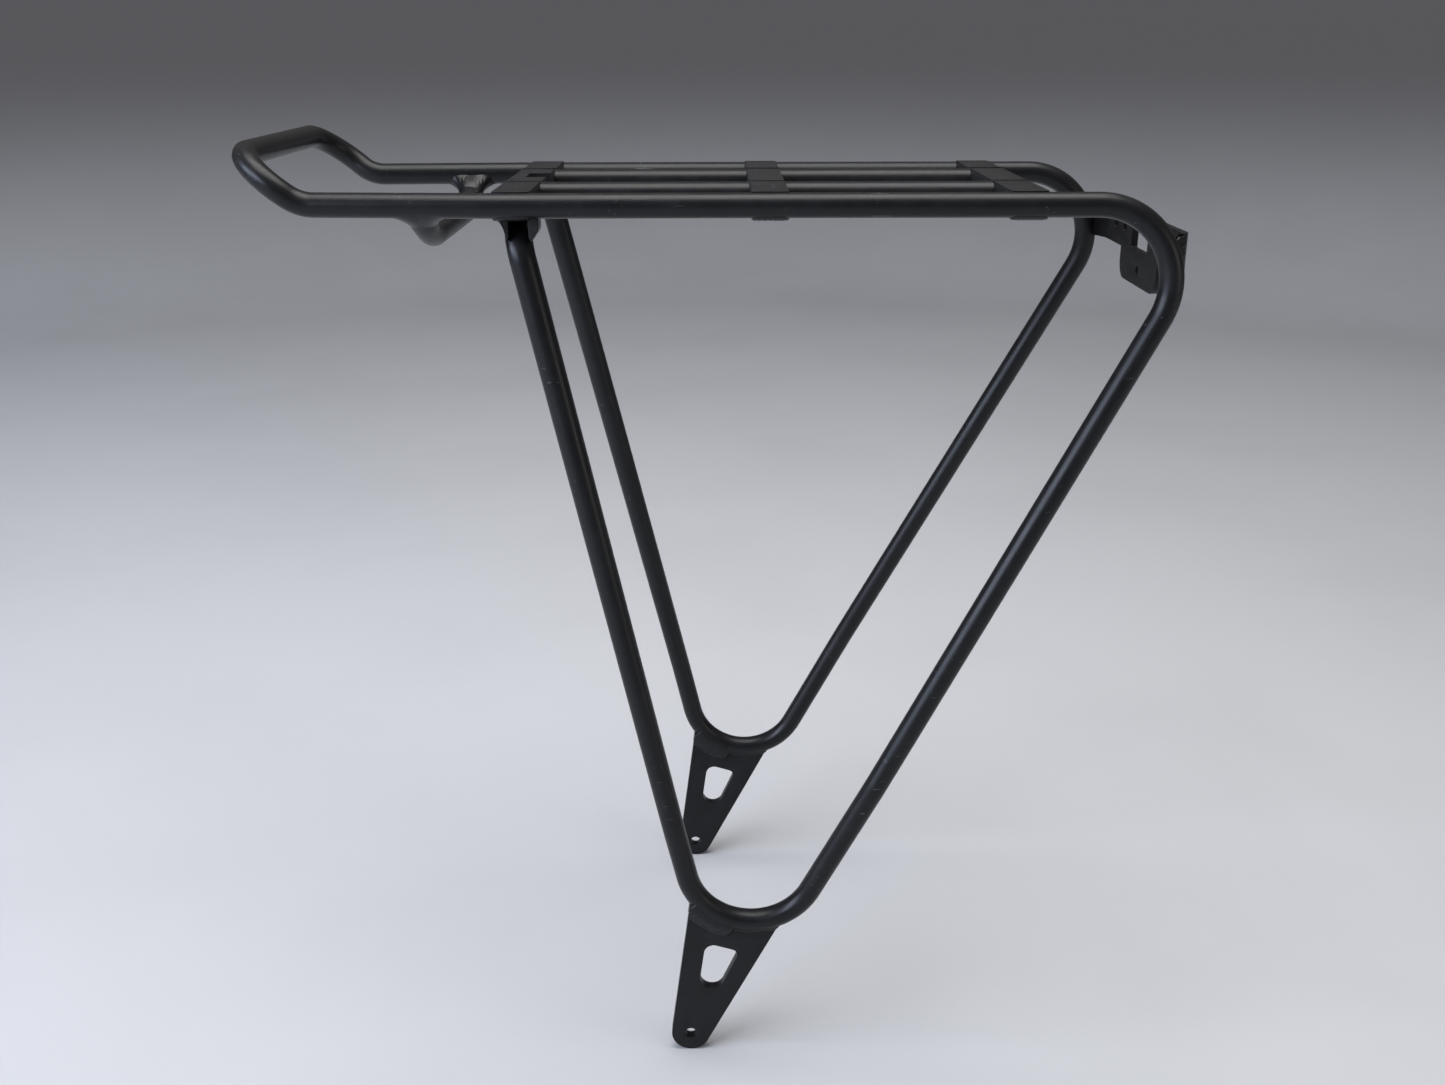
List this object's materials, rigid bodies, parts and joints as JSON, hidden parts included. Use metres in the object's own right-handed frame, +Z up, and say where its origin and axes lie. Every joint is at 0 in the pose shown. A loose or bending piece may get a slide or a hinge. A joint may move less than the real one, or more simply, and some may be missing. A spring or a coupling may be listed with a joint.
{
  "type": "bicycle rear carrier",
  "caption": "Welded rear carrier for a bicycle: bent tube side frames with foot plates, a barred deck, a raised front hoop and a lamp plate.",
  "frame": {"origin": "midway between the two foot eyelets, on their common axis", "axes": "+X to the rear of the bicycle, +Y to the bicycle's right-hand side, +Z up"},
  "size_m": [0.389, 0.181, 0.4165],
  "materials": {
    "black_paint": "satin black powder coat on aluminium"
  },
  "bodies": {
    "root": {"bar_welds": "black_paint", "bridge_welds": "black_paint", "centre_deck_bar": "black_paint", "drop_bridge": "black_paint", "foot_welds": "black_paint", "front_deck_bar": "black_paint", "front_hoop": "black_paint", "front_left_rod": "black_paint", "front_right_rod": "black_paint", "lamp_plate": "black_paint", "lamp_welds": "black_paint", "left_foot_bend": "black_paint", "left_foot_plate": "black_paint", "left_front_stay": "black_paint", "left_rail": "black_paint", "left_rear_stay": "black_paint", "rear_deck_bar": "black_paint", "rear_left_rod": "black_paint", "rear_right_rod": "black_paint", "right_foot_bend": "black_paint", "right_foot_plate": "black_paint", "right_front_stay": "black_paint", "right_rail": "black_paint", "right_rear_stay": "black_paint", "rod_welds": "black_paint", "stay_welds": "black_paint"}
  },
  "joints": []
}
